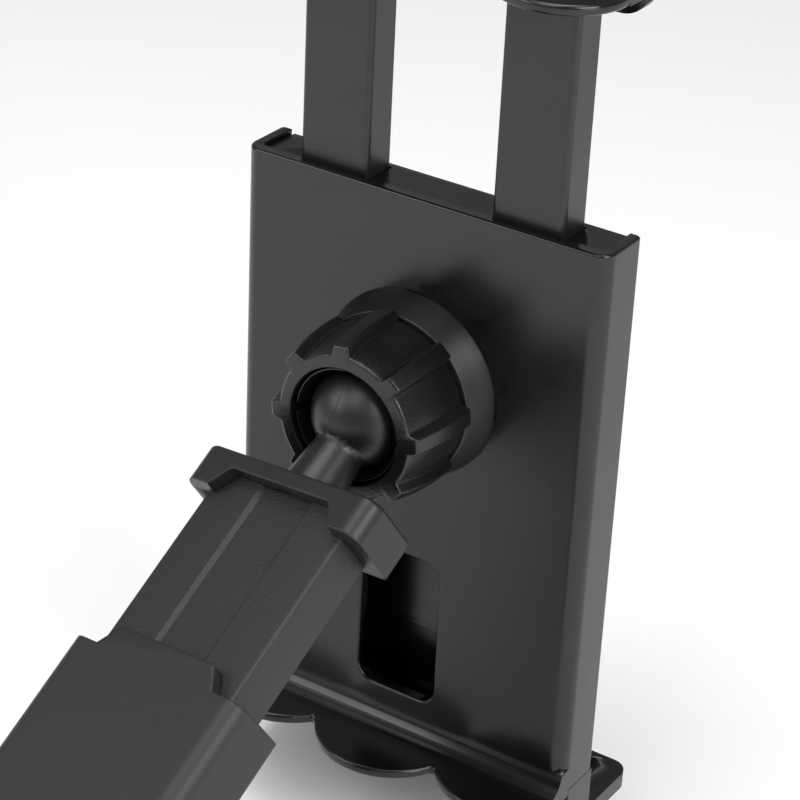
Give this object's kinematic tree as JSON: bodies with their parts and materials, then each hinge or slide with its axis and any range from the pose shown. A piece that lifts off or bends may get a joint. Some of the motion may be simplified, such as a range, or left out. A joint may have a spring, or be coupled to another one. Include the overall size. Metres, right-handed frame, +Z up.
{
  "type": "phone and tablet holder with ball joint and telescopic arm",
  "caption": "Spring clamp holder for a phone or tablet on a ball joint with locking nut, at the end of a flat telescopic arm.",
  "frame": {"origin": "middle of the seat pad's face, level with the ball's centre, where the device's back rests", "axes": "+Y out of the seat towards the device, +Z up along the rails towards the sliding jaw, +X to the right seen from behind"},
  "size_m": [0.066, 0.1597, 0.1649],
  "materials": {
    "sleeve_plastic": "matt fine-sparked black plastic",
    "grained_plastic": "leather-grained black plastic",
    "ball_plastic": "satin black plastic",
    "nut_plastic": "semi-gloss black plastic",
    "casing_plastic": "smooth satin black plastic",
    "jaw_plastic": "glossy black plastic",
    "rail_plastic": "satin black plastic",
    "pad_rubber": "soft black rubber",
    "screw_steel": "blackened steel",
    "spring_steel": "drawn spring wire"
  },
  "bodies": {
    "sleeve": {"outer_sleeve": "sleeve_plastic", "sleeve_plug": "sleeve_plastic", "plug_pins": "screw_steel"},
    "arm": {"inner_bar": "grained_plastic", "bar_shoe": "sleeve_plastic", "arm_cap": "sleeve_plastic", "cap_pins": "screw_steel", "ball_stud": "ball_plastic"},
    "cup": {"friction_cup": "pad_rubber"},
    "nut": {"lock_nut": "nut_plastic"},
    "holder": {"ball_socket": "casing_plastic", "socket_screws": "screw_steel", "back_shell": "casing_plastic", "front_shell": "casing_plastic", "case_screws": "screw_steel", "seat_pad": "pad_rubber", "lower_jaw": "jaw_plastic", "lower_jaw_screws": "screw_steel", "lower_jaw_pad": "pad_rubber", "spring_right": "spring_steel", "spring_left": "spring_steel"},
    "jaw": {"upper_jaw": "jaw_plastic", "upper_jaw_screws": "screw_steel", "upper_jaw_pad": "pad_rubber", "rail_right": "rail_plastic", "rail_left": "rail_plastic", "rail_bridge": "rail_plastic", "bridge_screws": "screw_steel"}
  },
  "joints": [
    {"name": "arm_extend", "type": "slide", "parent": "sleeve", "child": "arm", "axis": [0.0534, 0.837, 0.5446], "range_m": [-0.0296, 0.026]},
    {"name": "ball_twist", "type": "hinge", "parent": "arm", "child": "cup", "pos_m": [0, -0.0244, 0], "axis": [0.0534, 0.837, 0.5446], "continuous": true},
    {"name": "ball_tilt", "type": "hinge", "parent": "cup", "child": "nut", "pos_m": [0, -0.0244, 0], "axis": [-0.9952, 0, 0.0976], "range_deg": [-66.7, 0.4]},
    {"name": "holder_spin", "type": "hinge", "parent": "nut", "child": "holder", "pos_m": [0, -0.0244, 0], "axis": [0, -1, 0], "continuous": true},
    {"name": "jaw_slide", "type": "slide", "parent": "holder", "child": "jaw", "axis": [0, 0, 1], "range_m": [-0.033, 0.03], "deforming": ["spring_right", "spring_left"]}
  ]
}
